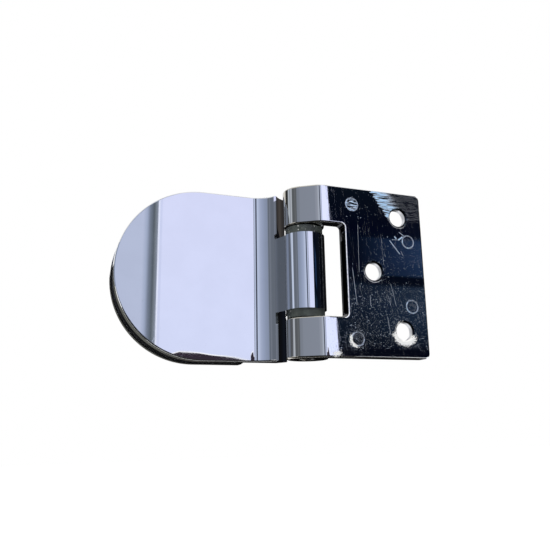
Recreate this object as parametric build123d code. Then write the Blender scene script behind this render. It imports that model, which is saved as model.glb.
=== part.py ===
from build123d import *
import math
import os

# The hinge is drawn flat open and lying on its clamp plate, with the hinge axis along Y at X = 0,
# X from the glass leaf (-) to the wall leaf (+) and Z out of the polished face.
# At the end it is stood up on its axis: Z becomes the hinge axis, and the origin is the middle
# of the wall leaf's mounting face, which looks to -Y.

# Hinge axis, barrel and pin
barrel_radius = 6.6
leaf_height = 55.0
wall_knuckle_length = 12.5
bush_flange_thickness = 2.5
end_float = 0.3
pin_radius = 3.0
pin_recess = 0.5
pin_chamfer = 0.4
bush_running_clearance = 0.05
bush_wall = 1.45
bush_sleeve_gap = 4.4
bush_flange_step = 0.6

# Clamp stack, from the clamp plate's outer face towards the polished face
clamp_plate_thickness = 3.0
pad_thickness = 0.8
glass_thickness = 6.0
front_plate_thickness = 4.0
axis_above_face = 9.1

# Glass leaf outline
d_radius = 27.5
d_center_x = -31.3
arm_end_x = -5.6
arm_lip_x = -3.4
arm_lip_below_face = 0.5
cove_radius = 8.8
cove_end_angle = 55.0
ridge_x = -8.3
knuckle_sweep_radius = 9.2
face_edge_radius = 0.4

# Clamp
clamp_end_x = -14.0
clamp_corner_radius = 2.0
clamp_edge_radius = 0.8
pad_inset = 0.7
screw_x = -36.0
screw_spacing = 27.0
screw_diameter = 5.0
screw_length = 10.0
screw_tip_chamfer = 0.5
screw_head_diameter = 10.0
screw_head_recess = 0.2
screw_socket_flats = 3.0
screw_socket_depth = 1.9
thread_clearance = 0.1
screw_hole_clearance = 0.5
boss_radius = 4.5
thread_depth = 8.5
pad_boss_clearance = 0.5

# Wall leaf
plate_above_axis = 9.25
plate_thickness = 4.5
plate_end_x = 38.7
plate_corner_radius = 1.8
plate_edge_radius = 0.5
bend_slope = 33.0
bend_radius = 6.0
root_radius = 2.0
notch_x = 10.2
notch_corner_radius = 1.2

# Screw holes in the wall leaf, from its free edge and its ends
hole_diameter = 5.8
hole_edge_break = 0.5
hole_head_diameter = 10.4
end_hole_inset = 8.7
end_hole_from_end = 8.6
middle_hole_inset = 18.7

# Round ejector marks on the mounting face
mark_radius = 2.25
mark_groove_width = 0.3
mark_groove_depth = 0.12
notch_mark_inset = 2.9
notch_mark_from_end = 5.7
edge_mark_inset = 5.5
edge_mark_from_middle = 10.85

# Sizes that follow
half_height = leaf_height / 2
gap_half = half_height - wall_knuckle_length
middle_half = gap_half - bush_flange_thickness - end_float
bush_body_length = middle_half - bush_sleeve_gap / 2
bush_bore_radius = pin_radius + bush_running_clearance
bush_outer_radius = bush_bore_radius + bush_wall
bush_flange_radius = barrel_radius - bush_flange_step
glass_low_z = clamp_plate_thickness + pad_thickness
glass_high_z = glass_low_z + glass_thickness
front_back_z = glass_high_z + pad_thickness
face_z = front_back_z + front_plate_thickness
axis_z = face_z + axis_above_face
plate_top_z = axis_z + plate_above_axis
plate_bottom_z = plate_top_z - plate_thickness
under_rise = plate_above_axis - plate_thickness
slope = math.radians(bend_slope)
bend_x = (plate_above_axis * math.cos(slope) - barrel_radius) / math.sin(slope)
bend_end_x = bend_x + bend_radius * math.tan(slope / 2)
root_end_x = math.sqrt((barrel_radius + root_radius) ** 2 - (under_rise - root_radius) ** 2)
end_hole_x = plate_end_x - end_hole_inset
end_hole_y = half_height - end_hole_from_end
hole_points = [(end_hole_x, end_hole_y), (plate_end_x - middle_hole_inset, 0), (end_hole_x, -end_hole_y)]
notch_mark = (notch_x + notch_mark_inset, half_height - notch_mark_from_end)
edge_mark = (plate_end_x - edge_mark_inset, edge_mark_from_middle)
to_frame = Pos(-(notch_x + plate_end_x) / 2, plate_top_z, 0) * Rot(90, 0, 0)
near = 0.001


def across(outline, y_low, y_high):
    """Solid of an X-Z outline between two Y values."""
    plane = Plane(origin=(0, y_high, 0), x_dir=(1, 0, 0), z_dir=(0, -1, 0))
    return extrude(plane * outline, amount=y_high - y_low, dir=(0, -1, 0))


def round_bar(radius, y_low, y_high):
    """Cylinder about the hinge axis."""
    return across(Pos(0, axis_z) * Circle(radius), y_low, y_high)


def both_ends(shape):
    """The shape and its mirror image across the middle of the hinge."""
    return shape + mirror(shape, about=Plane.XZ)


def d_outline(radius, end_x, end_corner=0.0):
    """Half disc carried on as a straight tongue to end_x."""
    tongue = Pos((d_center_x + end_x) / 2, 0) * Rectangle(end_x - d_center_x, 2 * radius)
    left = Pos(d_center_x - radius / 2, 0) * Rectangle(radius, 2 * radius)
    outline = (Pos(d_center_x, 0) * Circle(radius) & left) + tongue
    if end_corner:
        corners = outline.vertices().filter_by(lambda v: abs(v.X - end_x) < near)
        outline = fillet(corners, end_corner)
    return outline


def screw_places():
    return [Pos(screw_x, side * screw_spacing / 2, 0) for side in (1, -1)]


def edges_at(shape, z, x_from=None, x_to=None):
    """Edges lying flat at height z, with their middle beyond x_from or short of x_to."""
    found = shape.edges().filter_by(lambda e: abs(e.bounding_box().min.Z - z) < near)
    found = found.filter_by(lambda e: abs(e.bounding_box().max.Z - z) < near)
    if x_from is not None:
        found = found.filter_by(lambda e: e.center().X > x_from + near)
    if x_to is not None:
        found = found.filter_by(lambda e: e.center().X < x_to - near)
    return found


def wall_knuckle():
    """Upper knuckle: the barrel, its tangent slope and the start of the plate."""
    tangent = (-barrel_radius * math.sin(slope), axis_z + barrel_radius * math.cos(slope))
    ridge = (bend_x, plate_top_z)
    under_x = math.sqrt(barrel_radius**2 - under_rise**2)
    block = Polygon(
        (0, axis_z),
        tangent,
        ridge,
        (notch_x + plate_corner_radius, plate_top_z),
        (notch_x + plate_corner_radius, plate_bottom_z),
        (under_x, plate_bottom_z),
        align=None,
    )
    outline = Pos(0, axis_z) * Circle(barrel_radius) + block
    bend = outline.vertices().sort_by_distance(ridge)[0]
    outline = fillet(bend, bend_radius)
    root = outline.vertices().sort_by_distance((under_x, plate_bottom_z))[0]
    outline = fillet(root, root_radius)
    return across(outline, gap_half, half_height)


def knuckle_end_edges(leaf):
    """Edges round the flat ends of the wall knuckles, with the plate edges that run on from them."""
    rim = edges_at(leaf, plate_top_z, x_from=bend_end_x)
    rim = rim + edges_at(leaf, plate_bottom_z, x_from=root_end_x)
    for face in leaf.faces().filter_by(Axis.Y):
        rim = rim + face.edges().filter_by(lambda e: e not in rim)
    return rim


def notch_corner_edges(leaf):
    """The two upright edges in the inner corners of the notch."""
    upright = leaf.edges().filter_by(Axis.Z)
    upright = upright.filter_by(lambda e: abs(e.center().X - notch_x) < near)
    return upright.filter_by(lambda e: abs(abs(e.center().Y) - gap_half) < near)


def screw_hole():
    """Cutter for one wall screw hole: bore, head countersink and a broken edge on the mounting face."""
    radius = hole_diameter / 2
    head_depth = hole_head_diameter / 2 - radius
    bore = Cylinder(radius, plate_thickness)
    head = Pos(0, 0, (head_depth - plate_thickness) / 2) * Cone(hole_head_diameter / 2, radius, head_depth)
    lip = Cone(radius, radius + hole_edge_break, hole_edge_break)
    return bore + head + Pos(0, 0, (plate_thickness - hole_edge_break) / 2) * lip


def make_wall_leaf():
    width = plate_end_x - notch_x
    blank = Pos(notch_x + width / 2, 0) * Rectangle(width, leaf_height)
    right = blank.vertices().filter_by(lambda v: abs(v.X - plate_end_x) < near)
    blank = fillet(right, plate_corner_radius)
    leaf = extrude(Pos(0, 0, plate_bottom_z) * blank, amount=plate_thickness)
    leaf = leaf + both_ends(wall_knuckle())
    leaf = fillet(notch_corner_edges(leaf), notch_corner_radius)
    leaf = fillet(knuckle_end_edges(leaf), plate_edge_radius)
    cutter = screw_hole()
    for x, y in hole_points:
        leaf = leaf - Pos(x, y, plate_bottom_z + plate_thickness / 2) * cutter
    groove = Circle(mark_radius) - Circle(mark_radius - mark_groove_width)
    for x, y in (notch_mark, edge_mark):
        mark = extrude(Pos(x, y, plate_top_z) * groove, amount=-mark_groove_depth)
        leaf = leaf - both_ends(mark)
    return leaf - round_bar(pin_radius, -half_height, half_height)


def cove_rib():
    """Rib along the leaf's edge: a cove up to a ridge beside the barrel, and a lip that reaches under it."""
    end = math.radians(cove_end_angle)
    start = (ridge_x - cove_radius * math.sin(end), face_z)
    ridge = (ridge_x, face_z + cove_radius * (1 - math.cos(end)))
    middle = (start[0] + cove_radius * math.sin(end / 2), face_z + cove_radius * (1 - math.cos(end / 2)))
    foot = (start[0], front_back_z)
    heel = (arm_end_x, front_back_z)
    lip = (arm_lip_x, face_z - arm_lip_below_face)
    lip_top = (arm_lip_x, ridge[1])
    edge = [
        Line(foot, start),
        ThreePointArc(start, middle, ridge),
        Line(ridge, lip_top),
        Line(lip_top, lip),
        Line(lip, heel),
        Line(heel, foot),
    ]
    return across(make_face(edge), -d_radius, d_radius), start[0], ridge


def knuckle_web(ridge):
    """Web from the leaf's edge to the middle knuckle, running onto the barrel along its tangents."""
    reach = math.hypot(arm_end_x, front_back_z - axis_z)
    heading = math.atan2(front_back_z - axis_z, arm_end_x)
    spread = math.acos(barrel_radius / reach)
    lower, upper = [
        (barrel_radius * math.cos(a), axis_z + barrel_radius * math.sin(a))
        for a in (heading + spread, heading - spread)
    ]
    outline = Polygon(ridge, upper, lower, (arm_end_x, front_back_z), (ridge_x, front_back_z), align=None)
    return across(outline, -middle_half, middle_half)


def make_glass_leaf():
    plate = extrude(Pos(0, 0, front_back_z) * d_outline(d_radius, arm_end_x), amount=front_plate_thickness)
    rib, cove_start_x, ridge = cove_rib()
    leaf = plate + rib
    leaf = fillet(edges_at(leaf, face_z, x_to=cove_start_x), face_edge_radius)
    sweep = round_bar(knuckle_sweep_radius, middle_half, d_radius + half_height)
    leaf = leaf - both_ends(sweep)
    leaf = leaf + knuckle_web(ridge) + round_bar(barrel_radius, -middle_half, middle_half)
    leaf = leaf - round_bar(bush_outer_radius, -middle_half, middle_half)
    boss_length = front_back_z - glass_low_z
    boss = Pos(0, 0, front_back_z - boss_length / 2) * Cylinder(boss_radius, boss_length)
    thread = Cylinder((screw_diameter + thread_clearance) / 2, thread_depth)
    thread = Pos(0, 0, glass_low_z + thread_depth / 2) * thread
    for place in screw_places():
        leaf = leaf + place * boss - place * thread
    return leaf


def make_clamp_plate():
    outline = d_outline(d_radius, clamp_end_x, clamp_corner_radius)
    plate = extrude(outline, amount=clamp_plate_thickness)
    plate = fillet(edges_at(plate, 0), clamp_edge_radius)
    through = (screw_diameter + screw_hole_clearance) / 2
    sink = (screw_head_diameter + screw_hole_clearance) / 2 + screw_head_recess
    hole = Pos(0, 0, clamp_plate_thickness / 2) * Cylinder(through, clamp_plate_thickness)
    hole = hole + Pos(0, 0, (sink - through) / 2) * Cone(sink, through, sink - through)
    for place in screw_places():
        plate = plate - place * hole
    return plate


def make_pad(z_low):
    outline = d_outline(d_radius - pad_inset, clamp_end_x - pad_inset, clamp_corner_radius)
    pad = extrude(Pos(0, 0, z_low) * outline, amount=pad_thickness)
    opening = Pos(0, 0, z_low + pad_thickness / 2) * Cylinder(boss_radius + pad_boss_clearance, pad_thickness)
    for place in screw_places():
        pad = pad - place * opening
    return pad


def make_clamp_screw():
    head_radius = screw_head_diameter / 2
    shank = screw_diameter / 2
    head_height = head_radius - shank
    screw = Pos(0, 0, head_height / 2) * Cone(head_radius, shank, head_height)
    screw = screw + Pos(0, 0, screw_length / 2) * Cylinder(shank, screw_length)
    tip = screw.edges().sort_by(Axis.Z)[-1]
    screw = chamfer(tip, screw_tip_chamfer)
    socket = RegularPolygon(screw_socket_flats / 2, 6, major_radius=False)
    screw = screw - extrude(socket, amount=screw_socket_depth)
    return Pos(0, 0, screw_head_recess) * screw


def make_bush():
    """Upper flanged bush: sleeve in the middle knuckle, flange against the wall knuckle."""
    low = middle_half - bush_body_length
    high = middle_half + bush_flange_thickness
    sleeve = round_bar(bush_outer_radius, low, high)
    flange = round_bar(bush_flange_radius, middle_half, high)
    return sleeve + flange - round_bar(bush_bore_radius, low, high)


def make_pin():
    pin = round_bar(pin_radius, -half_height + pin_recess, half_height - pin_recess)
    return chamfer(pin.edges().filter_by(GeomType.CIRCLE), pin_chamfer)


pieces = {
    "wall_leaf": make_wall_leaf(),
    "glass_leaf": make_glass_leaf(),
    "clamp_plate": make_clamp_plate(),
    "front_pad": make_pad(glass_high_z),
    "rear_pad": make_pad(clamp_plate_thickness),
    "clamp_screws": Part() + [place * make_clamp_screw() for place in screw_places()],
    "hinge_pin": make_pin(),
    "upper_bush": make_bush(),
    "lower_bush": mirror(make_bush(), about=Plane.XZ),
}
os.makedirs("parts", exist_ok=True)
for name, shape in pieces.items():
    export_step(to_frame * shape, f"parts/{name}.step")
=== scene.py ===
import math
import bpy
from mathutils import Matrix, Vector

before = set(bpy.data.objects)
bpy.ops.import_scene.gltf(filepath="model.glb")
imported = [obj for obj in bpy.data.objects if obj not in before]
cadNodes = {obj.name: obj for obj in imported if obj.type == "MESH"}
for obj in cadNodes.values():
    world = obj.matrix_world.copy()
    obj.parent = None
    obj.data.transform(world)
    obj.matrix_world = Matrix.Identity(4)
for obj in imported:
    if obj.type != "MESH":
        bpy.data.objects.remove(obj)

scene = bpy.context.scene
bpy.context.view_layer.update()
scene.view_settings.view_transform = "Standard"
print("frame loaded:", len(cadNodes), "nodes")

# Places below are in mm from the middle of the hinge axis: x towards the wall leaf, y up along the axis,
# out from the polished face towards the camera.
hingeAxis = {"x": -24.45, "y": 9.25}


def fromAxis(x, y, out):
    return Vector((x + hingeAxis["x"], hingeAxis["y"] - out, y)) / 1000


photoCamera = {
    "lens": 40.02,
    "sensor": 36.0,
    "clip": (0.005, 50.0),
    "place": (-75.59, -45.87, 175.57),
    "right": (0.93844, -0.01599, 0.34506),
    "up": (-0.06555, 0.97253, 0.22336),
    "back": (-0.33915, -0.23223, 0.91162),
}


def makeCamera(spec):
    data = bpy.data.cameras.new("photoCamera")
    data.lens = spec["lens"]
    data.sensor_width = spec["sensor"]
    data.clip_start, data.clip_end = spec["clip"]
    camera = bpy.data.objects.new("photoCamera", data)
    scene.collection.objects.link(camera)
    columns = [Vector((v[0], -v[2], v[1])) for v in (spec["right"], spec["up"], spec["back"])]
    turn = Matrix(columns).transposed().to_4x4()
    camera.matrix_world = Matrix.Translation(fromAxis(*spec["place"])) @ turn
    scene.camera = camera


makeCamera(photoCamera)
print("camera set")


def feed(tree, socket, value):
    if isinstance(value, bpy.types.NodeSocket):
        tree.links.new(value, socket)
    elif value is not None:
        socket.default_value = value


def addNode(tree, kind, inputs=None, **settings):
    node = tree.nodes.new("ShaderNode" + kind)
    for name, value in settings.items():
        setattr(node, name, value)
    for name, value in (inputs or {}).items():
        feed(tree, node.inputs[name], value)
    return node


def calc(tree, operation, *values):
    node = addNode(tree, "Math", operation=operation)
    for socket, value in zip(node.inputs, values):
        feed(tree, socket, value)
    return node.outputs[0]


def vec(tree, operation, *values):
    node = addNode(tree, "VectorMath", operation=operation)
    for socket, value in zip(node.inputs, values):
        feed(tree, socket, value)
    return node.outputs["Value" if operation in ("LENGTH", "DOT_PRODUCT", "DISTANCE") else "Vector"]


def fade(tree, value, start, end, atStart=0.0, atEnd=1.0):  # smooth step from one value to another
    inputs = {"Value": value, "From Min": start, "From Max": end, "To Min": atStart, "To Max": atEnd}
    return addNode(tree, "MapRange", inputs, interpolation_type="SMOOTHSTEP").outputs["Result"]


def noise(tree, vector, scale, detail=2.0):
    return addNode(tree, "TexNoise", {"Vector": vector, "Scale": scale, "Detail": detail}).outputs["Fac"]


def blendTone(tree, factor, low, high):
    mix = tree.nodes.new("ShaderNodeMix")
    mix.data_type = "RGBA"
    feed(tree, mix.inputs["Factor"], factor)
    for name, tone in (("A", low), ("B", high)):
        socket = [s for s in mix.inputs if s.name == name and s.type == "RGBA"][0]
        feed(tree, socket, tone if isinstance(tone, bpy.types.NodeSocket) else (*tone, 1))
    return [s for s in mix.outputs if s.type == "RGBA"][0]


def strongest(tree, masks):
    best = masks[0]
    for mask in masks[1:]:
        best = calc(tree, "MAXIMUM", best, mask)
    return best


def product(tree, *masks):
    whole = masks[0]
    for mask in masks[1:]:
        whole = calc(tree, "MULTIPLY", whole, mask)
    return whole


def axes(tree, place, names):
    parts = addNode(tree, "SeparateXYZ", {"Vector": place}).outputs
    return [parts[name] for name in names]


def stretchedNoise(tree, place, stretch, detail):
    return noise(tree, vec(tree, "MULTIPLY", place, stretch), 1.0, detail)


def newGroup(name, inputs, output, outputKind="NodeSocketFloat"):
    tree = bpy.data.node_groups.new(name, "ShaderNodeTree")
    for label, value in inputs.items():
        kind = "NodeSocketVector" if value is None or isinstance(value, tuple) else "NodeSocketFloat"
        socket = tree.interface.new_socket(label, in_out="INPUT", socket_type=kind)
        if value is not None:
            socket.default_value = value
    tree.interface.new_socket(output, in_out="OUTPUT", socket_type=outputKind)
    given = tree.nodes.new("NodeGroupInput").outputs
    gives = tree.nodes.new("NodeGroupOutput").inputs
    return tree, given, gives[output]


def useGroup(tree, group, **inputs):
    node = tree.nodes.new("ShaderNodeGroup")
    node.node_tree = group
    for name, value in inputs.items():
        feed(tree, node.inputs[name], value)
    return node.outputs[0]


def makeFineScratches():
    inputs = {"Vector": None, "Angle": 0.0, "Density": 2.0, "Length": 12.0, "Width": 0.03, "Amount": 0.4}
    tree, given, mask = newGroup("fineScratches", inputs, "Mask")
    turned = addNode(tree, "VectorRotate", {"Vector": given["Vector"], "Angle": given["Angle"]},
                     rotation_type="Y_AXIS")
    along = calc(tree, "DIVIDE", given["Density"], given["Length"])
    stretch = addNode(tree, "CombineXYZ", {"X": given["Density"], "Y": given["Density"], "Z": along})
    place = vec(tree, "MULTIPLY", turned.outputs["Vector"], stretch.outputs[0])
    offset = calc(tree, "ABSOLUTE", calc(tree, "SUBTRACT", noise(tree, place, 1.0, 1.0), 0.5))
    line = fade(tree, offset, 0.0, given["Width"], 1.0, 0.0)
    broken = noise(tree, vec(tree, "ADD", place, (31.0, 7.0, 3.0)), 0.7, 1.0)
    limit = calc(tree, "MULTIPLY_ADD", given["Amount"], -0.5, 0.75)
    shown = fade(tree, calc(tree, "SUBTRACT", broken, limit), 0.0, 0.06)
    feed(tree, mask, calc(tree, "MULTIPLY", line, shown))
    return tree


def makeSpecks():
    inputs = {"Vector": None, "Scale": 2.0, "Amount": 0.3, "Size": 0.3}
    tree, given, mask = newGroup("specks", inputs, "Mask")
    cells = addNode(tree, "TexVoronoi", {"Vector": given["Vector"], "Scale": given["Scale"]})
    parts = addNode(tree, "SeparateColor", {"Color": cells.outputs["Color"]})
    picked = calc(tree, "LESS_THAN", parts.outputs["Red"], given["Amount"])
    share = calc(tree, "MULTIPLY_ADD", parts.outputs["Green"], 0.7, 0.3)  # each speck has a size of its own
    size = calc(tree, "MULTIPLY", given["Size"], share)
    dot = fade(tree, cells.outputs["Distance"], 0.0, size, 1.0, 0.0)
    feed(tree, mask, calc(tree, "MULTIPLY", picked, dot))
    return tree


def makeSoftClouds():
    inputs = {"Vector": None, "Scale": 0.2, "Low": 0.0, "High": 1.0}
    tree, given, value = newGroup("softClouds", inputs, "Value")
    cloud = noise(tree, given["Vector"], given["Scale"], 3.0)
    feed(tree, value, fade(tree, cloud, 0.3, 0.7, given["Low"], given["High"]))
    return tree


def makeEdgeWear():
    inputs = {"Vector": None, "Radius": 0.0004, "Grit": 1.5, "Amount": 0.5}
    tree, given, mask = newGroup("edgeWear", inputs, "Mask")
    rounded = addNode(tree, "Bevel", {"Radius": given["Radius"]}, samples=4).outputs["Normal"]
    flat = addNode(tree, "NewGeometry").outputs["Normal"]
    edge = fade(tree, vec(tree, "DOT_PRODUCT", rounded, flat), 0.995, 0.93)
    limit = calc(tree, "MULTIPLY_ADD", given["Amount"], -0.5, 0.75)
    grit = calc(tree, "SUBTRACT", noise(tree, given["Vector"], given["Grit"], 3.0), limit)
    feed(tree, mask, calc(tree, "MULTIPLY", edge, fade(tree, grit, 0.0, 0.08)))
    return tree


def makeSpot():
    inputs = {"Vector": None, "Center": (0.0, 0.0, 0.0), "Inner": 0.0, "Outer": 1.0}
    tree, given, mask = newGroup("spot", inputs, "Mask")
    reach = vec(tree, "DISTANCE", given["Vector"], given["Center"])
    feed(tree, mask, fade(tree, reach, given["Inner"], given["Outer"], 1.0, 0.0))
    return tree


def makeScratchLine():
    inputs = {"Vector": None, "Start": (0.0, 0.0, 0.0), "End": (0.0, 0.0, 1.0), "Width": 0.15}
    tree, given, mask = newGroup("scratchLine", inputs, "Mask")
    fromStart = vec(tree, "SUBTRACT", given["Vector"], given["Start"])
    run = vec(tree, "SUBTRACT", given["End"], given["Start"])
    reach = vec(tree, "DOT_PRODUCT", fromStart, run)
    share = calc(tree, "DIVIDE", reach, vec(tree, "DOT_PRODUCT", run, run))
    share = addNode(tree, "Clamp", {"Value": share}).outputs[0]
    along = addNode(tree, "VectorMath", {"Vector": run, "Scale": share}, operation="SCALE").outputs["Vector"]
    feed(tree, mask, fade(tree, vec(tree, "DISTANCE", fromStart, along), 0.0, given["Width"], 1.0, 0.0))
    return tree


# flat faces square to the frame keep their own normal, so the curves beside them leave no tint
def makeFlatNormal():
    tree, given, normal = newGroup("flatNormal", {}, "Normal", "NodeSocketVector")
    surface = addNode(tree, "NewGeometry").outputs
    sides = addNode(tree, "SeparateXYZ", {"Vector": vec(tree, "ABSOLUTE", surface["True Normal"])}).outputs
    flat = fade(tree, strongest(tree, [sides["X"], sides["Y"], sides["Z"]]), 0.9996, 0.9999)
    change = vec(tree, "SUBTRACT", surface["True Normal"], surface["Normal"])
    feed(tree, normal, vec(tree, "MULTIPLY_ADD", change, flat, surface["Normal"]))
    return tree


fineScratches = makeFineScratches()
specks = makeSpecks()
softClouds = makeSoftClouds()
edgeWear = makeEdgeWear()
spot = makeSpot()
scratchLine = makeScratchLine()
flatNormal = makeFlatNormal()
print("shader groups made")


def newMaterial(name):
    material = bpy.data.materials.new(name)
    material.use_nodes = True
    return material, material.node_tree, material.node_tree.nodes["Principled BSDF"]


def axisPlace(tree):  # mm: x from the hinge axis, y into the wall leaf from its mounting face, z up
    coords = addNode(tree, "TexCoord").outputs["Object"]
    return vec(tree, "MULTIPLY_ADD", coords, (1000.0, 1000.0, 1000.0), (-hingeAxis["x"], 0.0, 0.0))


def dress(node, material):
    mesh = cadNodes[node].data
    mesh.materials.clear()
    mesh.materials.append(material)


def bump(tree, height, distance, normal=None):
    inputs = {"Height": height, "Distance": distance, "Strength": 1.0, "Normal": normal}
    return addNode(tree, "Bump", inputs).outputs["Normal"]


# Pairs and rows of four below are fades: start, end and, where given, the value at each.
wallLeafLook = {
    "chrome": (0.80, 0.81, 0.84),
    # the knuckles' chrome is darker and warmer than the plate's: painted shade that dims what they reflect
    "knuckle": (0.54, 0.515, 0.46),
    "knuckleEnd": (1.2, 3.0),  # x over which the knuckles' darker, warmer chrome, painted shade that dims their reflections, turns into the chrome
    # real scratches, specks, scuffs and chipped edges, coloured light lavender: a painted reflection of the bright
    # panel
    "wearAndSheen": (0.44, 0.68, 0.92),
    # pale colour for real deposits and specks, also used for the painted highlight along the notch's edge
    "paleMark": (0.95, 0.94, 0.88),
    # near-black navy for the notch wall and the hole edges: painted shade, the dark room they reflect
    "recessShade": (0.012, 0.014, 0.02),
    "smooth": {"Scale": 0.15, "Low": 0.012, "High": 0.03},
    "wornRoughness": 0.42,
    "paleMarkRoughness": 0.5,
    "boreRoughness": 0.4,
    "waveScale": 1.1,
    "waveHeight": 8e-8,
    "scratchDepth": 1e-6,
    "markDepth": (0.02, 0.3, 1.0, 0.0),  # y over which the marks on the mounting face end
    "paleMarkDepth": (0.4, 1.4, 1.0, 0.0),
    "chips": {"Radius": 0.0004, "Grit": 1.8, "Amount": 0.26},
    "chipStrength": 0.8,
    "hairlines": {"Angle": math.radians(7), "Density": 1.3, "Length": 16.0, "Width": 0.02, "Amount": 0.45},
    "hairlineStrength": 0.11,
    "broken": {"Scale": 1.2, "Low": 0.5, "High": 1.0},  # uneven strength along rings and hole edges
    # scuffed corner: a slanted jagged edge where x + slant * z passes start, streaks that run out to the right
    "scuff": {
        "slant": 0.7,
        "start": 41.4,
        "jag": 5.0,
        "edge": (0.0, 0.5),
        "runOut": (3.0, 8.5, 1.0, 0.07),
        "foot": (17.4, 18.6),
        "streakStretch": (0.10, 0.5, 2.2),
        "grainStretch": (0.22, 0.5, 2.6),
        "grainLimits": (0.40, 0.55, 0.03, 1.0),
    },
    # specks: thick in the lower half and on the right, few near the bend, at the foot and in the dark stripe
    "specks": {
        "lower": (1.0, -7.0, 0.03, 0.46),
        "rightX": (16.0, 24.0, 0.0, 0.22),
        "rightZ": (15.0, 9.0),
        "stripeX": (21.0, 25.0),
        "stripeTop": (-0.6, -1.6),
        "stripeFoot": (-4.8, -3.8),
        "inStripe": (0.0, 1.0, 1.0, 0.15),
        "foot": (-25.2, -23.4, 0.15, 1.0),
        "bend": (6.0, 12.0, 0.15, 1.0),
        # clouds: place, inner and outer radius, amount added
        "halos": [
            ((20.0, 0.0), 2.8, 5.0, 0.5),
            ((30.0, 18.9), 3.0, 4.6, 0.4),
            ((30.0, -18.9), 3.2, 6.0, 0.5),
            ((13.1, -21.8), 2.0, 5.4, 0.5),
            ((5.2, -25.0), 0.5, 4.0, 0.35),
        ],
        "fine": {"Scale": 4.2, "Size": 0.72},
        "fineStrength": 0.32,
        "coarse": {"Scale": 2.2, "Size": 0.5},
        "coarseShift": (5.3, 1.7, 2.9),
        "coarseShare": 0.22,
        "coarseStrength": 0.7,
    },
    # single scratches on the mounting face: start, end, half width and strength
    "scratches": [
        ((26.4, 10.7), (29.8, 6.5), 0.2, 0.8),
        ((27.3, 11.1), (29.8, 11.3), 0.16, 0.5),
        ((29.8, 11.3), (31.1, 12.3), 0.36, 1.0),
        ((30.1, 13.9), (32.2, 12.5), 0.18, 0.6),
        ((28.3, 12.2), (28.8, 11.7), 0.3, 1.0),
        ((30.4, 7.4), (31.0, 6.1), 0.16, 0.4),
        ((14.9, 15.0), (14.6, -0.6), 0.13, 0.3),
        ((12.3, 0.5), (13.4, -11.2), 0.13, 0.4),
        ((25.8, -3.8), (27.3, -10.8), 0.14, 0.35),
        ((24.6, -7.6), (25.3, -10.3), 0.13, 0.3),
        ((23.9, -14.5), (24.7, -20.2), 0.14, 0.4),
        ((18.1, -7.9), (18.0, -11.1), 0.13, 0.4),
        ((23.2, 12.6), (23.6, 2.4), 0.12, 0.22),
    ],
    # ring marks: heavier at their lower left, streaked inside
    "rings": {
        # place, strength of the light ring and of the streaks inside it
        "marks": [
            ((13.1, 21.8), 1.0, 0.65),
            ((33.2, 10.85), 1.0, 0.05),
            ((33.2, -10.85), 1.0, 0.05),
            ((13.1, -21.8), 0.8, 0.03),
        ],
        "radius": 2.1,
        "line": (0.05, 0.32, 1.0, 0.0),
        "heavySide": (-0.75, 0.0, -0.66),
        "heavy": (-2.0, 1.6, 0.55, 1.0),
        "disc": (1.9, 2.3, 1.0, 0.0),
        "streakStretch": (0.4, 0.5, 2.4),
        "streakLimits": (0.47, 0.57),
    },
    # holes: painted shade in the broken edge, a rougher bore, a light line around the lower left
    "holes": {
        "places": [(30.0, 18.9), (20.0, 0.0), (30.0, -18.9)],
        "edgeRadius": 3.4,
        "recessShade": (0.0, 0.1, 1.0, 0.0),
        "recessShadeDepth": (0.4, 0.7, 1.0, 0.0),
        "bore": (-0.4, -0.3, 1.0, 0.0),
        "lineOffset": 0.2,
        "line": (0.04, 0.2, 1.0, 0.0),
        "lineSide": (-0.5, 0.0, -0.87),
        "lineHeavy": (0.0, 2.6),
        "lineStrength": 0.5,
    },
    # notch: painted shade that blackens its wall, with a ragged painted highlight along its edge
    "notch": {
        "left": (8.6, 8.9),
        "right": (10.8, 10.9, 1.0, 0.0),
        "ends": (15.5, 15.7, 1.0, 0.0),
        "back": (4.2, 4.35, 1.0, 0.0),
        "edge": (0.06, 0.14),
        "lineStart": (0.003, 0.02),
        "raggedScale": 2.2,
        "ragged": (0.42, 0.5, 0.3, 1.0),
    },
    # pale deposits lie against one side of a hole or mark and break up into fine grains
    "deposits": {
        # place, inner and outer radius, heavier side and density
        "places": [
            ((30.0, -18.9), 2.9, 6.6, (-0.15, -1.0), 1.0),
            ((30.0, -18.9), 2.9, 5.0, (-0.9, 0.3), 0.6),
            ((13.1, -21.8), 2.0, 4.2, (-0.9, -0.45), 0.8),
            ((5.6, -25.0), 0.4, 4.2, (0.2, -1.0), 1.05),
        ],
        "innerFade": 0.4,
        "side": (-1.0, 2.4),
        "thickness": 1.5,
        "grainScale": 2.6,
        "grain": (2.4, -1.95),  # factor and offset of the noise
        "grainEdge": (0.0, 0.15),
    },
}


def scuffMask(tree, place, spec):
    x, z = axes(tree, place, "XZ")
    slant = calc(tree, "MULTIPLY_ADD", z, spec["slant"], -spec["start"])
    streaks = stretchedNoise(tree, place, spec["streakStretch"], 2.0)
    jagged = calc(tree, "MULTIPLY_ADD", streaks, spec["jag"], calc(tree, "ADD", x, slant))
    grain = stretchedNoise(tree, place, spec["grainStretch"], 3.0)
    return product(tree, fade(tree, jagged, *spec["edge"]), fade(tree, jagged, *spec["runOut"]),
                   fade(tree, z, *spec["foot"]), fade(tree, grain, *spec["grainLimits"]))


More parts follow.
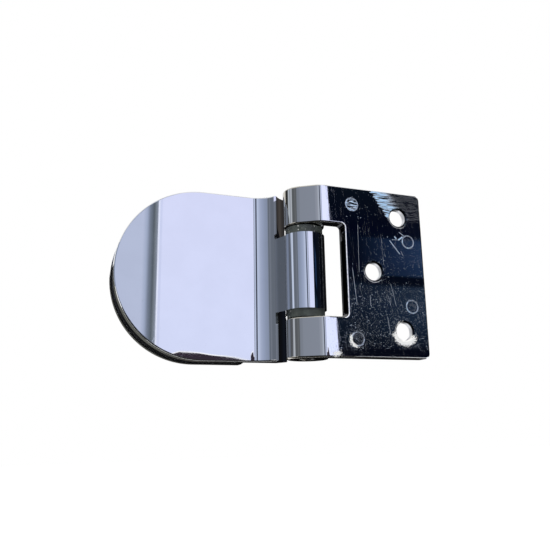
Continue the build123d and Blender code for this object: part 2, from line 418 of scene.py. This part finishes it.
def speckMasks(tree, place, spec):
    x, z = axes(tree, place, "XZ")
    lower = fade(tree, z, *spec["lower"])
    right = product(tree, fade(tree, x, *spec["rightX"]), fade(tree, z, *spec["rightZ"]))
    stripe = product(tree, fade(tree, z, *spec["stripeTop"]), fade(tree, z, *spec["stripeFoot"]),
                     fade(tree, x, *spec["stripeX"]))
    density = product(tree, strongest(tree, [lower, right]), fade(tree, stripe, *spec["inStripe"]),
                      fade(tree, z, *spec["foot"]), fade(tree, x, *spec["bend"]))
    for (haloX, haloZ), inner, outer, amount in spec["halos"]:
        halo = useGroup(tree, spot, Vector=place, Center=(haloX, 0.0, haloZ), Inner=inner, Outer=outer)
        density = calc(tree, "MULTIPLY_ADD", halo, amount, density)
    fine = useGroup(tree, specks, Vector=place, Amount=density, **spec["fine"])
    shifted = vec(tree, "ADD", place, spec["coarseShift"])
    fewer = calc(tree, "MULTIPLY", density, spec["coarseShare"])
    coarse = useGroup(tree, specks, Vector=shifted, Amount=fewer, **spec["coarse"])
    return [calc(tree, "MULTIPLY", fine, spec["fineStrength"]),
            calc(tree, "MULTIPLY", coarse, spec["coarseStrength"])]


def scratchMasks(tree, place, scratches):
    masks = []
    for (startX, startZ), (endX, endZ), width, strength in scratches:
        line = useGroup(tree, scratchLine, Vector=place, Start=(startX, 0.0, startZ), End=(endX, 0.0, endZ),
                        Width=width)
        masks.append(calc(tree, "MULTIPLY", line, strength))
    return masks


def lineAround(tree, reach, radius, limits):
    return fade(tree, calc(tree, "ABSOLUTE", calc(tree, "SUBTRACT", reach, radius)), *limits)


def ringMasks(tree, place, broken, spec):
    streaks = stretchedNoise(tree, place, spec["streakStretch"], 2.0)
    masks = []
    for (ringX, ringZ), strength, inside in spec["marks"]:
        offset = vec(tree, "SUBTRACT", place, (ringX, 0.0, ringZ))
        reach = vec(tree, "LENGTH", offset)
        heavy = fade(tree, vec(tree, "DOT_PRODUCT", offset, spec["heavySide"]), *spec["heavy"])
        ring = product(tree, lineAround(tree, reach, spec["radius"], spec["line"]), broken, heavy)
        disc = product(tree, fade(tree, reach, *spec["disc"]), fade(tree, streaks, *spec["streakLimits"]))
        masks += [calc(tree, "MULTIPLY", ring, strength), calc(tree, "MULTIPLY", disc, inside)]
    return masks


def holeMasks(tree, place, broken, spec):
    recessShades, bores, lines = [], [], []
    for holeX, holeZ in spec["places"]:
        offset = vec(tree, "SUBTRACT", place, (holeX, 0.0, holeZ))
        offset = vec(tree, "MULTIPLY", offset, (1.0, 0.0, 1.0))
        reach = calc(tree, "SUBTRACT", vec(tree, "LENGTH", offset), spec["edgeRadius"])
        recessShades.append(fade(tree, reach, *spec["recessShade"]))
        bores.append(fade(tree, reach, *spec["bore"]))
        heavy = fade(tree, vec(tree, "DOT_PRODUCT", offset, spec["lineSide"]), *spec["lineHeavy"])
        line = product(tree, lineAround(tree, reach, spec["lineOffset"], spec["line"]), broken, heavy)
        lines.append(calc(tree, "MULTIPLY", line, spec["lineStrength"]))
    depth = fade(tree, axes(tree, place, "Y")[0], *spec["recessShadeDepth"])
    recessShade = product(tree, strongest(tree, recessShades), depth)
    return recessShade, strongest(tree, bores), lines


def notchMasks(tree, place, spec):
    x, y, z = axes(tree, place, "XYZ")
    around = product(tree, fade(tree, x, *spec["left"]), fade(tree, x, *spec["right"]),
                     fade(tree, calc(tree, "ABSOLUTE", z), *spec["ends"]), fade(tree, y, *spec["back"]))
    recessShade = product(tree, around, fade(tree, y, *spec["edge"]))
    ragged = fade(tree, noise(tree, place, spec["raggedScale"], 2.0), *spec["ragged"])
    # a ragged painted highlight along the notch's edge
    line = product(tree, around, fade(tree, y, *spec["lineStart"]), fade(tree, y, *spec["edge"], 1.0, 0.0), ragged)
    return recessShade, line


def depositMasks(tree, place, spec):
    powder = calc(tree, "MULTIPLY_ADD", noise(tree, place, spec["grainScale"], 3.0), *spec["grain"])
    masks = []
    for (spotX, spotZ), inner, outer, (sideX, sideZ), amount in spec["places"]:
        offset = vec(tree, "SUBTRACT", place, (spotX, 0.0, spotZ))
        reach = vec(tree, "LENGTH", offset)
        side = vec(tree, "DOT_PRODUCT", offset, (sideX, 0.0, sideZ))
        cloud = product(tree, fade(tree, reach, inner, outer, 1.0, 0.0),
                        fade(tree, reach, inner - spec["innerFade"], inner), fade(tree, side, *spec["side"]))
        thick = calc(tree, "MULTIPLY_ADD", cloud, spec["thickness"] * amount, powder)
        masks.append(fade(tree, thick, *spec["grainEdge"]))
    return masks


def makeScuffedChrome(look):
    material, tree, shader = newMaterial("scuffedChrome")
    place = axisPlace(tree)
    x, y = axes(tree, place, "XY")
    broken = useGroup(tree, softClouds, Vector=place, **look["broken"])
    hairlines = useGroup(tree, fineScratches, Vector=place, **look["hairlines"])
    masks = [scuffMask(tree, place, look["scuff"]), calc(tree, "MULTIPLY", hairlines, look["hairlineStrength"])]
    masks += speckMasks(tree, place, look["specks"])
    masks += scratchMasks(tree, place, look["scratches"])
    masks += ringMasks(tree, place, broken, look["rings"])
    marks = product(tree, strongest(tree, masks), fade(tree, y, *look["markDepth"]))
    chips = useGroup(tree, edgeWear, Vector=place, **look["chips"])
    wearAndSheen = calc(tree, "MAXIMUM", marks, calc(tree, "MULTIPLY", chips, look["chipStrength"]))

    holeShade, bores, pale = holeMasks(tree, place, broken, look["holes"])
    notchShade, notchGlint = notchMasks(tree, place, look["notch"])
    recessShade = calc(tree, "MAXIMUM", holeShade, notchShade)
    pale += [notchGlint] + depositMasks(tree, place, look["deposits"])
    # pale marks: real deposits plus the painted highlight along the notch
    paleMark = product(tree, strongest(tree, pale), fade(tree, y, *look["paleMarkDepth"]))

    # the knuckles get the darker chrome: painted shade on their reflections
    tone = blendTone(tree, fade(tree, x, *look["knuckleEnd"]), look["knuckle"], look["chrome"])
    # painted shade darkens the hole edges and the notch wall
    tone = blendTone(tree, recessShade, tone, look["recessShade"])
    # the wear marks take the lavender tone: real wear with a painted reflection
    tone = blendTone(tree, wearAndSheen, tone, look["wearAndSheen"])
    feed(tree, shader.inputs["Base Color"], blendTone(tree, paleMark, tone, look["paleMark"]))
    feed(tree, shader.inputs["Metallic"], calc(tree, "SUBTRACT", 1.0, calc(tree, "MAXIMUM", wearAndSheen, paleMark)))
    rough = useGroup(tree, softClouds, Vector=place, **look["smooth"])
    rough = calc(tree, "MULTIPLY_ADD", wearAndSheen, look["wornRoughness"], rough)
    rough = calc(tree, "MULTIPLY_ADD", bores, look["boreRoughness"], rough)
    feed(tree, shader.inputs["Roughness"], calc(tree, "MULTIPLY_ADD", paleMark, look["paleMarkRoughness"], rough))
    wave = noise(tree, place, look["waveScale"], 2.0)
    wave = bump(tree, wave, look["waveHeight"], useGroup(tree, flatNormal))
    sunk = calc(tree, "MULTIPLY", wearAndSheen, -1.0)
    feed(tree, shader.inputs["Normal"], bump(tree, sunk, look["scratchDepth"], wave))
    return material


glassLeafLook = {
    "chrome": ((0.685, 0.693, 0.71), (0.705, 0.713, 0.73)),
    "smooth": {"Scale": 0.09, "Low": 0.012, "High": 0.03},
    "hairlineRoughness": 0.05,
    "edgeRoughness": 0.10,
    "waveHeight": 2.5e-7,
}
clampLook = {
    "chrome": ((0.66, 0.67, 0.69), (0.74, 0.75, 0.77)),
    "smooth": {"Scale": 0.09, "Low": 0.05, "High": 0.11},
    "hairlineRoughness": 0.16,
    "edgeRoughness": 0.18,
    "waveHeight": 6e-7,
}
polish = {
    "toneScale": 0.12,
    "waveScale": 0.35,
    "hairlines": {"Angle": math.radians(-24), "Density": 0.9, "Length": 22.0, "Width": 0.012, "Amount": 0.3},
    "edges": {"Radius": 0.0004, "Grit": 1.2, "Amount": 0.45},
}


def makePolishedChrome(name, look):
    material, tree, shader = newMaterial(name)
    place = axisPlace(tree)
    shader.inputs["Metallic"].default_value = 1.0
    cloud = useGroup(tree, softClouds, Vector=place, Scale=polish["toneScale"], Low=0.0, High=1.0)
    feed(tree, shader.inputs["Base Color"], blendTone(tree, cloud, *look["chrome"]))
    hairlines = useGroup(tree, fineScratches, Vector=place, **polish["hairlines"])
    edge = useGroup(tree, edgeWear, Vector=place, **polish["edges"])
    rough = useGroup(tree, softClouds, Vector=place, **look["smooth"])
    rough = calc(tree, "MULTIPLY_ADD", hairlines, look["hairlineRoughness"], rough)
    feed(tree, shader.inputs["Roughness"], calc(tree, "MULTIPLY_ADD", edge, look["edgeRoughness"], rough))
    wave = noise(tree, place, polish["waveScale"], 2.0)
    feed(tree, shader.inputs["Normal"], bump(tree, wave, look["waveHeight"], useGroup(tree, flatNormal)))
    return material


screwLook = {
    "tones": ((0.51, 0.51, 0.52), (0.57, 0.57, 0.58)),
    "smooth": {"Scale": 0.8, "Low": 0.24, "High": 0.3},
    "lineRoughness": 0.1,
    "lineAngle": 35,
    "socketFace": 32.7,  # y of the heads, below which their sockets darken with painted shade
    "socketDepth": 1.0,
    "recessShade": (0.09, 0.09, 0.088),
}
pinLook = {
    "tones": ((0.44, 0.44, 0.45), (0.55, 0.55, 0.56)),
    "smooth": {"Scale": 0.8, "Low": 0.22, "High": 0.34},
    "lineRoughness": 0.14,
    "lineAngle": 90,
}
grinding = {
    "lines": {"Density": 3.0, "Length": 20.0, "Width": 0.03, "Amount": 0.6},
    "clouds": {"Scale": 0.3, "Low": 0.0, "High": 0.7},
    "depth": 4e-7,
}


def makeSteel(name, look):
    material, tree, shader = newMaterial(name)
    place = axisPlace(tree)
    shader.inputs["Metallic"].default_value = 1.0
    angle = math.radians(look["lineAngle"])
    lines = useGroup(tree, fineScratches, Vector=place, Angle=angle, **grinding["lines"])
    cloud = useGroup(tree, softClouds, Vector=place, **grinding["clouds"])
    tone = blendTone(tree, calc(tree, "MAXIMUM", lines, cloud), *look["tones"])
    # the sockets darken with depth: painted shade in the recess
    if "socketFace" in look:
        depth = calc(tree, "SUBTRACT", look["socketFace"], axes(tree, place, "Y")[0])
        tone = blendTone(tree, fade(tree, depth, 0.0, look["socketDepth"]), tone, look["recessShade"])
    feed(tree, shader.inputs["Base Color"], tone)
    rough = useGroup(tree, softClouds, Vector=place, **look["smooth"])
    feed(tree, shader.inputs["Roughness"], calc(tree, "MULTIPLY_ADD", lines, look["lineRoughness"], rough))
    feed(tree, shader.inputs["Normal"], bump(tree, lines, grinding["depth"]))
    return material


bushTones = ((0.045, 0.053, 0.045), (0.078, 0.09, 0.076))
padTones = ((0.012, 0.012, 0.013), (0.022, 0.022, 0.024))
bushSmooth = {"Scale": 1.1, "Low": 0.42, "High": 0.6}
padSmooth = {"Scale": 1.1, "Low": 0.7, "High": 0.9}
upperBushLook = {"tones": bushTones, "smooth": bushSmooth, "grain": 8e-6, "paleMark": (0.85, 0.85, 0.8), "specks": 0.3}
lowerBushLook = {"tones": bushTones, "smooth": bushSmooth, "grain": 8e-6, "paleMark": (0.6, 0.6, 0.56), "specks": 0.07}
frontPadLook = {"tones": padTones, "smooth": padSmooth, "grain": 1.6e-5, "paleMark": (0.2, 0.2, 0.2), "specks": 0.05}
rearPadLook = {"tones": padTones, "smooth": padSmooth, "grain": 1.6e-5, "paleMark": (0.2, 0.2, 0.2), "specks": 0.08}
moulding = {
    "toneScale": 0.45,
    "grainScale": 6.0,
    "specks": {"Scale": 1.0, "Size": 0.5},
    "speckRoughness": 0.2,
}


def makeDarkPolymer(name, look):
    material, tree, shader = newMaterial(name)
    place = axisPlace(tree)
    cloud = useGroup(tree, softClouds, Vector=place, Scale=moulding["toneScale"], Low=0.0, High=1.0)
    dots = useGroup(tree, specks, Vector=place, Amount=look["specks"], **moulding["specks"])
    tone = blendTone(tree, cloud, *look["tones"])
    feed(tree, shader.inputs["Base Color"], blendTone(tree, dots, tone, look["paleMark"]))
    rough = useGroup(tree, softClouds, Vector=place, **look["smooth"])
    feed(tree, shader.inputs["Roughness"], calc(tree, "MULTIPLY_ADD", dots, moulding["speckRoughness"], rough))
    feed(tree, shader.inputs["Normal"], bump(tree, noise(tree, place, moulding["grainScale"], 2.0), look["grain"]))
    return material


dress("wall_leaf", makeScuffedChrome(wallLeafLook))
dress("glass_leaf", makePolishedChrome("polishedChrome", glassLeafLook))
dress("clamp_plate", makePolishedChrome("clampChrome", clampLook))
dress("clamp_screws", makeSteel("screwSteel", screwLook))
dress("hinge_pin", makeSteel("pinSteel", pinLook))
dress("upper_bush", makeDarkPolymer("upperBushPlastic", upperBushLook))
dress("lower_bush", makeDarkPolymer("lowerBushPlastic", lowerBushLook))
dress("front_pad", makeDarkPolymer("frontPadRubber", frontPadLook))
dress("rear_pad", makeDarkPolymer("rearPadRubber", rearPadLook))
print("materials made")


def makeCardGlow():
    material, tree, shader = newMaterial("cardGlow")
    tree.nodes.remove(shader)
    tone = addNode(tree, "Attribute", attribute_name="tone").outputs
    glow = addNode(tree, "Emission", {"Color": tone["Color"]}).outputs[0]
    clear = addNode(tree, "BsdfTransparent").outputs[0]
    mix = addNode(tree, "MixShader", {"Fac": tone["Alpha"]})
    tree.links.new(clear, mix.inputs[1])
    tree.links.new(glow, mix.inputs[2])
    tree.links.new(mix.outputs[0], tree.nodes["Material Output"].inputs["Surface"])
    return material


cardGlow = makeCardGlow()


# A card is a row of ribs, each with its two ends and the tone at each end. A bright one also lights the object.
def makeCard(name, ribs, bright=False):
    points = [fromAxis(*end) for rib in ribs for end in rib[:2]]
    faces = [(2 * i, 2 * i + 1, 2 * i + 3, 2 * i + 2) for i in range(len(ribs) - 1)]
    mesh = bpy.data.meshes.new(name)
    mesh.from_pydata(points, [], faces)
    tones = [tone for rib in ribs for tone in rib[2:]]
    attribute = mesh.color_attributes.new("tone", "FLOAT_COLOR", "POINT")
    for i, tone in enumerate(tones):
        attribute.data[i].color = tone if len(tone) == 4 else (*tone, 1.0)
    mesh.materials.append(cardGlow)
    card = bpy.data.objects.new(name, mesh)
    scene.collection.objects.link(card)
    card.visible_camera = False
    card.visible_shadow = False
    card.visible_diffuse = bright
    return card


studio = {
    "roomTop": 300,
    "lowTone": (0.03, 0.03, 0.028),
    # wall of the room on the left, in front of the hinge: x and tone
    "westOut": 245,
    "westFoot": -4,
    "westLowEnd": (-130, 185),  # y and out where the part below it ends
    "westLowShare": 0.2,
    "westStops": [
        (-480, (0.165, 0.189, 0.232)),
        (-455, (0.165, 0.189, 0.232)),
        (-446, (0.268, 0.311, 0.390)),
        (-375, (0.323, 0.378, 0.525)),
        (-275, (0.354, 0.415, 0.561)),
        (-196, (0.409, 0.476, 0.659)),
        (-136, (0.482, 0.549, 0.744)),
        (-85, (0.647, 0.732, 0.952)),
        (-66, (0.647, 0.732, 0.952)),
        (-63, (0.061, 0.073, 0.110)),
        (-41, (0.061, 0.073, 0.110)),
        (-38, (0.647, 0.714, 0.933)),
        (-15.9, (0.647, 0.714, 0.933)),
        (-13.0, (0.488, 0.561, 0.756)),
        (-10.9, (0.242, 0.284, 0.376)),
        (-9.4, (0.183, 0.220, 0.281)),
        (-8.0, (0.122, 0.146, 0.177)),
        (-6.6, (0.244, 0.281, 0.329)),
        (-5.1, (0.317, 0.354, 0.451)),
        (-4.7, (1.074, 1.122, 1.342)),
        (-3.9, (1.074, 1.122, 1.342)),
        (-3.6, (0.838, 0.895, 1.196)),
        (-1.9, (0.838, 0.895, 1.196)),
    ],
    # bright panel in front, with a lighter line and a dark flag below its lower edge: x and y of that edge
    "panelEdge": [
        (-60, 12.0), (0, 11.0), (20, 11.5), (34, 16.2), (52, 15.4), (64, 13.7), (76, 12.9), (86, 11.9), (96, 9.8),
        (106, 7.2), (175, -4),
    ],
    "panelOut": 350,
    "panelTop": 320,
    "panelTopEnd": 164,
    "panelTone": (0.927, 0.988, 1.293),
    "panelTopTone": (0.964, 0.982, 1.293),
    "lineTone": (1.403, 1.403, 1.464),
    "flagStart": (-300, 12.0),
    "flagOut": 352,
    "flagEnd": (-400, 200),
    "flagTone": (0.044, 0.033, 0.049),
    # dark room on the right: y, tone on the left and on the right
    "eastX": (168, 198, 330),
    "eastOut": 351,
    "eastStops": [
        (-120, (0.002, 0.003, 0.006), (0.002, 0.003, 0.006)),
        (18, (0.002, 0.003, 0.008), (0.002, 0.003, 0.008)),
        (30, (0.004, 0.008, 0.016), (0.008, 0.016, 0.032)),
        (62, (0.006, 0.012, 0.026), (0.016, 0.034, 0.070)),
        (80, (0.005, 0.010, 0.022), (0.016, 0.034, 0.066)),
        (84, (0.002, 0.004, 0.010), (0.002, 0.003, 0.008)),
        (90, (0.002, 0.004, 0.010), (0.002, 0.003, 0.008)),
        (96, (0.002, 0.003, 0.010), (0.018, 0.045, 0.115)),
        (128, (0.001, 0.003, 0.010), (0.025, 0.058, 0.145)),
        (136, (0.001, 0.002, 0.009), (0.004, 0.007, 0.018)),
        (178, (0.003, 0.006, 0.012), (0.004, 0.006, 0.012)),
        (400, (0.003, 0.005, 0.010), (0.003, 0.005, 0.010)),
    ],
    # its roof: x, out and y of the far end
    "eastRoof": [(168, 351, 560), (330, 351, 560), (450, -40, 560), (400, -250, 460)],
    "roofStart": 400,
    "roofLean": 60,
    # wall of the room on the right and behind: x, out, tone below the split and above it
    "eastBandFoot": -140,
    "eastBandSplit": 150,
    "eastBand": [
        (330, 351, (0.003, 0.005, 0.012), (0.003, 0.005, 0.012)),
        (450, 60, (0.008, 0.010, 0.016), (0.05, 0.045, 0.042)),
        (450, -40, (0.006, 0.007, 0.010), (0.085, 0.075, 0.068)),
        (380, -180, (0.006, 0.006, 0.007), (0.05, 0.045, 0.042)),
        (250, -290, (0.004, 0.004, 0.004), (0.004, 0.004, 0.004)),
        (100, -335, (0.004, 0.004, 0.004), (0.004, 0.004, 0.004)),
        (40, -340, (0.01, 0.01, 0.01), (0.01, 0.01, 0.01)),
    ],
    # wall of the room on the left and behind: x, out and tone
    "westBandFoot": -12,
    "westBand": [
        (-265, -335, (0.024, 0.024, 0.024)),
        (-420, -330, (0.049, 0.052, 0.055)),
        (-470, -255, (0.146, 0.165, 0.189)),
        (-480, -222, (0.805, 0.927, 1.147)),
        (-480, -165, (0.805, 0.927, 1.147)),
        (-480, -110, (0.342, 0.390, 0.500)),
        (-480, -60, (0.732, 0.817, 1.013)),
        (-480, 0, (0.732, 0.817, 1.013)),
        (-480, 18, (0.171, 0.195, 0.238)),
        (-480, 120, (0.171, 0.195, 0.238)),
        (-480, 205, (0.244, 0.271, 0.329)),
        (-480, 212, (0.165, 0.189, 0.232)),
        (-480, 245, (0.165, 0.189, 0.232)),
    ],
    # flags below: y, x from and to, and out with the opacity there
    "lowerFlags": {
        "lowerFlag": (-125, (-380, 150), [(-130, 0.0), (-80, 1.0), (250, 1.0), (360, 1.0)]),
        "lowerFlagEast": (-124, (90, 260), [(-300, 1.0), (-80, 1.0)]),
        "lowerFlagWest": (-124, (-380, -120), [(-300, 1.0), (-80, 1.0)]),
    },
    # band behind that darkens the rim of the clamp: inner end, outer end and tone
    "rimOut": -300,
    "rimRibs": [
        ((-78, 88), (-150, 88), (0.03, 0.03, 0.03)),
        ((-80, 60), (-150, 60), (0.07, 0.07, 0.068)),
        ((-85, 30), (-150, 30), (0.125, 0.127, 0.112)),
        ((-70, -15), (-150, -60), (0.125, 0.127, 0.112)),
        ((-48, -45), (-110, -125), (0.125, 0.127, 0.112)),
        ((-20, -48), (-25, -130), (0.10, 0.10, 0.09)),
        ((35, -40), (35, -130), (0.07, 0.064, 0.058)),
        ((62, -12), (62, -130), (0.03, 0.03, 0.028)),
        ((85, -12), (85, -140), (0.003, 0.003, 0.003)),
        ((260, -12), (260, -140), (0.003, 0.003, 0.003)),
    ],
}


def makeStudioCards(spec):
    top, low = spec["roomTop"], spec["lowTone"]
    foot, out, (lowY, lowOut) = spec["westFoot"], spec["westOut"], spec["westLowEnd"]
    makeCard("westWall", [((x, foot, out), (x, top, out), tone, tone) for x, tone in spec["westStops"]])
    makeCard("westLow", [((x, foot, out), (x, lowY, lowOut), tuple(spec["westLowShare"] * c for c in tone), low)
                         for x, tone in spec["westStops"]])

    edge, out, topEnd = spec["panelEdge"], spec["panelOut"], spec["panelTopEnd"]
    panel, panelTop, line, dark = (spec[name] for name in ("panelTone", "panelTopTone", "lineTone", "flagTone"))
    makeCard("overheadPanel", [((x, y, out), (min(x, topEnd), spec["panelTop"], out), panel, panelTop)
                               for x, y in edge], True)
    makeCard("panelRim", [((x, y - 0.5, out + 0.5), (x, y + 0.3, out - 0.5), line, line) for x, y in edge])
    makeCard("floorFlag", [((x, y, spec["flagOut"]), (x, *spec["flagEnd"]), dark, dark)
                           for x, y in [spec["flagStart"]] + edge])

    (near, middle, far), out = spec["eastX"], spec["eastOut"]
    makeCard("eastFlag", [((near, y, out), (middle, y, out), left, left) for y, left, _ in spec["eastStops"]])
    makeCard("eastFlagRight", [((middle, y, out), (far, y, out), left, right)
                               for y, left, right in spec["eastStops"]])
    foot, split = spec["eastBandFoot"], spec["eastBandSplit"]
    makeCard("eastBand", [((x, foot, out), (x, split, out), tone, tone) for x, out, tone, _ in spec["eastBand"]])
    makeCard("eastBandTop", [((x, split, out), (x, top, out), tone, tone) for x, out, _, tone in spec["eastBand"]])
    foot = spec["westBandFoot"]
    makeCard("westBand", [((x, foot, out), (x, top, out), tone, tone) for x, out, tone in spec["westBand"]])
    for name, (y, (fromX, toX), stops) in spec["lowerFlags"].items():
        ribs = [(out, (*low, opacity)) for out, opacity in stops]
        makeCard(name, [((fromX, y, out), (toX, y, out), tone, tone) for out, tone in ribs])
    shade, start, lean = spec["eastStops"][-1][1], spec["roofStart"], spec["roofLean"]
    makeCard("eastRoof", [((x, start, out), (x - lean, y, out - lean), shade, shade)
                          for x, out, y in spec["eastRoof"]])
    out = spec["rimOut"]
    makeCard("rimFlag", [((*inner, out), (*outer, out), tone, tone) for inner, outer, tone in spec["rimRibs"]])


makeStudioCards(studio)


def seenDirectly(tree):  # by the camera, in metal or through glass
    path = addNode(tree, "LightPath").outputs
    return strongest(tree, [path["Is Camera Ray"], path["Is Glossy Ray"], path["Is Transmission Ray"]])


worldLook = {"room": (0.9, 0.92, 0.95, 1), "strength": 0.5, "background": (1, 1, 1, 1)}


def makeWorld(look):
    world = bpy.data.worlds.new("studio")
    scene.world = world
    world.use_nodes = True
    tree = world.node_tree
    room = tree.nodes["Background"]
    room.inputs["Color"].default_value = look["room"]
    room.inputs["Strength"].default_value = look["strength"]
    white = addNode(tree, "Background", {"Color": look["background"], "Strength": 1.0})
    mix = addNode(tree, "MixShader", {"Fac": seenDirectly(tree)})
    tree.links.new(room.outputs[0], mix.inputs[1])
    tree.links.new(white.outputs[0], mix.inputs[2])
    tree.links.new(mix.outputs[0], tree.nodes["World Output"].inputs["Surface"])


floorLook = {
    "height": -150.0,  # mm
    "half": 1.6,  # m
    "tones": ((0.86, 0.86, 0.86), (0.9, 0.9, 0.9)),
    "toneScale": 3.0,
    "roughness": 0.9,
    "glow": 0.75,
}


def makeFloor(look):
    mesh = bpy.data.meshes.new("floor")
    half, z = look["half"], look["height"] / 1000
    corners = [(-half, -half, z), (half, -half, z), (half, half, z), (-half, half, z)]
    mesh.from_pydata(corners, [], [(0, 1, 2, 3)])
    floor = bpy.data.objects.new("floor", mesh)
    scene.collection.objects.link(floor)
    material, tree, shader = newMaterial("paleFloor")
    coords = addNode(tree, "TexCoord").outputs["Object"]
    cloud = useGroup(tree, softClouds, Vector=coords, Scale=look["toneScale"], Low=0.0, High=1.0)
    feed(tree, shader.inputs["Base Color"], blendTone(tree, cloud, *look["tones"]))
    shader.inputs["Roughness"].default_value = look["roughness"]
    shader.inputs["Specular IOR Level"].default_value = 0.0
    shader.inputs["Emission Color"].default_value = (1, 1, 1, 1)
    feed(tree, shader.inputs["Emission Strength"], calc(tree, "MULTIPLY", seenDirectly(tree), look["glow"]))
    mesh.materials.append(material)


lampLook = {"place": (-60.0, 480.0, 260.0), "aim": (-20.0, 0.0, 0.0), "size": 0.35, "power": 2.0}


def makeLamp(look):
    data = bpy.data.lights.new("softBox", "AREA")
    data.shape = "SQUARE"
    data.size = look["size"]
    data.energy = look["power"]
    lamp = bpy.data.objects.new("softBox", data)
    scene.collection.objects.link(lamp)
    lamp.location = fromAxis(*look["place"])
    aim = fromAxis(*look["aim"]) - lamp.location
    lamp.rotation_euler = aim.to_track_quat("-Z", "Y").to_euler()
    lamp.visible_glossy = False


makeWorld(worldLook)
makeFloor(floorLook)
makeLamp(lampLook)
print("studio set")
